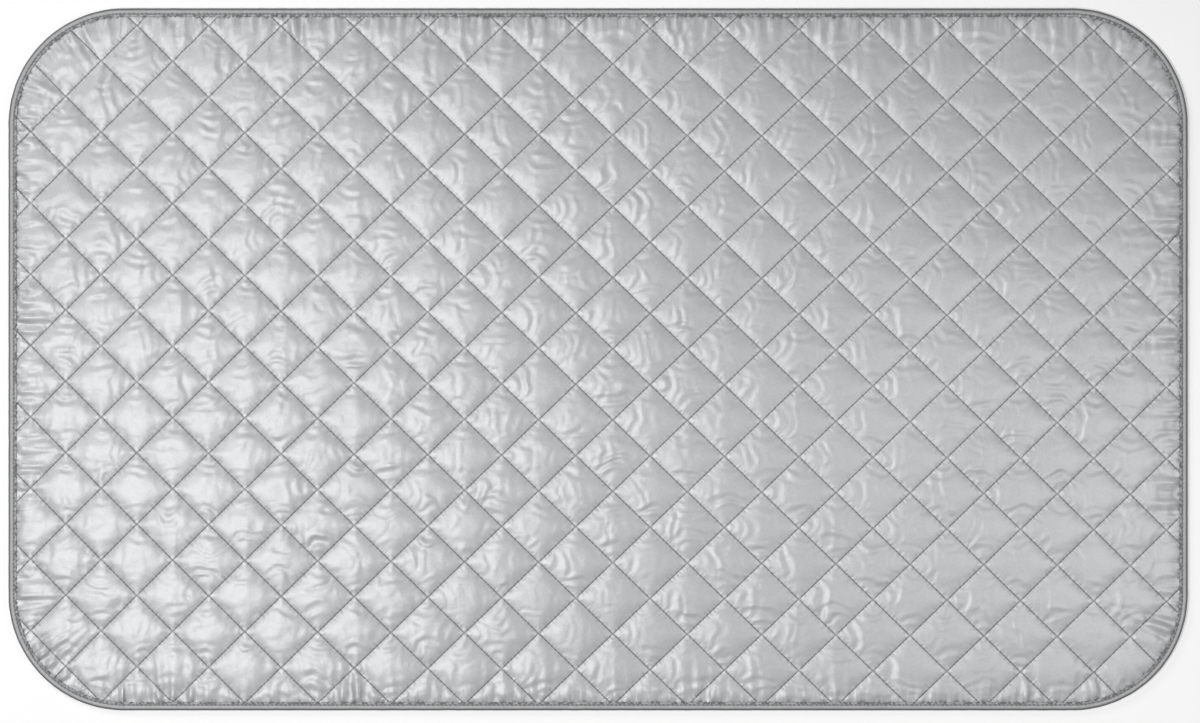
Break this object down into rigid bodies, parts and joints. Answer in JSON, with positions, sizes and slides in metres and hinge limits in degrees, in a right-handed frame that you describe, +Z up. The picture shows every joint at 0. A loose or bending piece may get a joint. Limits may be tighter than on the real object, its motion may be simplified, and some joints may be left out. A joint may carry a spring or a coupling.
{
  "type": "ironing pad",
  "caption": "Flat quilted ironing pad with rounded corners: metallised face cloth over wadding and backing, sewn in diamonds and bound with tape.",
  "frame": {"origin": "under the middle of the pad, on the surface it lies on", "axes": "+X along the length, +Y across the width, +Z up out of the silver face"},
  "size_m": [0.813, 0.484, 0.005],
  "materials": {
    "metallised_cloth": "satin metallised weave",
    "binding_tape": "folded woven tape",
    "sewing_thread": "twisted polyester",
    "fibre_wadding": "fleecy",
    "backing_cotton": "plain weave"
  },
  "bodies": {
    "root": {"backing_cloth": "backing_cotton", "wadding": "fibre_wadding", "face_cloth": "metallised_cloth", "edge_binding": "binding_tape", "binding_thread_top": "sewing_thread", "binding_thread_under": "sewing_thread", "quilting_thread_01": "sewing_thread", "quilting_thread_02": "sewing_thread", "quilting_thread_03": "sewing_thread", "quilting_thread_04": "sewing_thread", "quilting_thread_05": "sewing_thread", "quilting_thread_06": "sewing_thread", "quilting_thread_07": "sewing_thread", "quilting_thread_08": "sewing_thread", "quilting_thread_09": "sewing_thread", "quilting_thread_10": "sewing_thread", "quilting_thread_11": "sewing_thread", "quilting_thread_12": "sewing_thread", "quilting_thread_13": "sewing_thread", "quilting_thread_14": "sewing_thread", "quilting_thread_15": "sewing_thread", "quilting_thread_16": "sewing_thread", "quilting_thread_17": "sewing_thread", "quilting_thread_18": "sewing_thread", "quilting_thread_19": "sewing_thread", "quilting_thread_20": "sewing_thread", "quilting_thread_21": "sewing_thread", "quilting_thread_22": "sewing_thread", "quilting_thread_23": "sewing_thread", "quilting_thread_24": "sewing_thread", "quilting_thread_25": "sewing_thread", "quilting_thread_26": "sewing_thread", "quilting_thread_27": "sewing_thread", "quilting_thread_28": "sewing_thread", "quilting_thread_29": "sewing_thread", "quilting_thread_30": "sewing_thread", "quilting_thread_31": "sewing_thread"}
  },
  "joints": []
}
